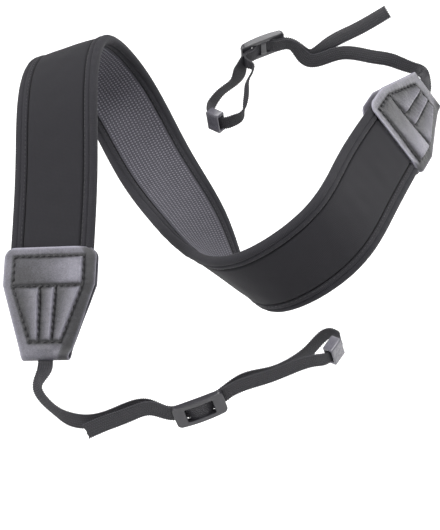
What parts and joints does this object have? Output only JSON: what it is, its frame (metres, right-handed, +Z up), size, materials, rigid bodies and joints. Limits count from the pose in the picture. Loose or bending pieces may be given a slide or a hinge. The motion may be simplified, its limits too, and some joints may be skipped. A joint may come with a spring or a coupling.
{
  "type": "camera neck strap",
  "caption": "Padded neck strap with bound edges, a grey grip lining, stitched leather ends, and narrow webbing with slider and keeper at each side.",
  "frame": {"origin": "on the grip lining under the top of the arch, where the band rests on a neck", "axes": "+Z up, +Y from the wearer's front to the back, +X from the strap's left end to its right end"},
  "size_m": [0.3027, 0.2138, 0.273],
  "materials": {
    "core": "matte neoprene with fine knit face",
    "binding": "matte stitched tape",
    "lining": "grey cloth with small raised grip dots",
    "leather": "soft satin grain",
    "webbing": "ribbed nylon weave",
    "plastic": "satin moulded"
  },
  "bodies": {
    "root": {"pad_core": "core", "grip_lining": "lining", "edge_binding_left": "binding", "edge_binding_right": "binding", "end_cap_left": "leather", "end_cap_right": "leather", "webbing_left": "webbing", "webbing_right": "webbing", "slider_left": "plastic", "slider_right": "plastic", "keeper_left": "plastic", "keeper_right": "plastic"}
  },
  "joints": []
}
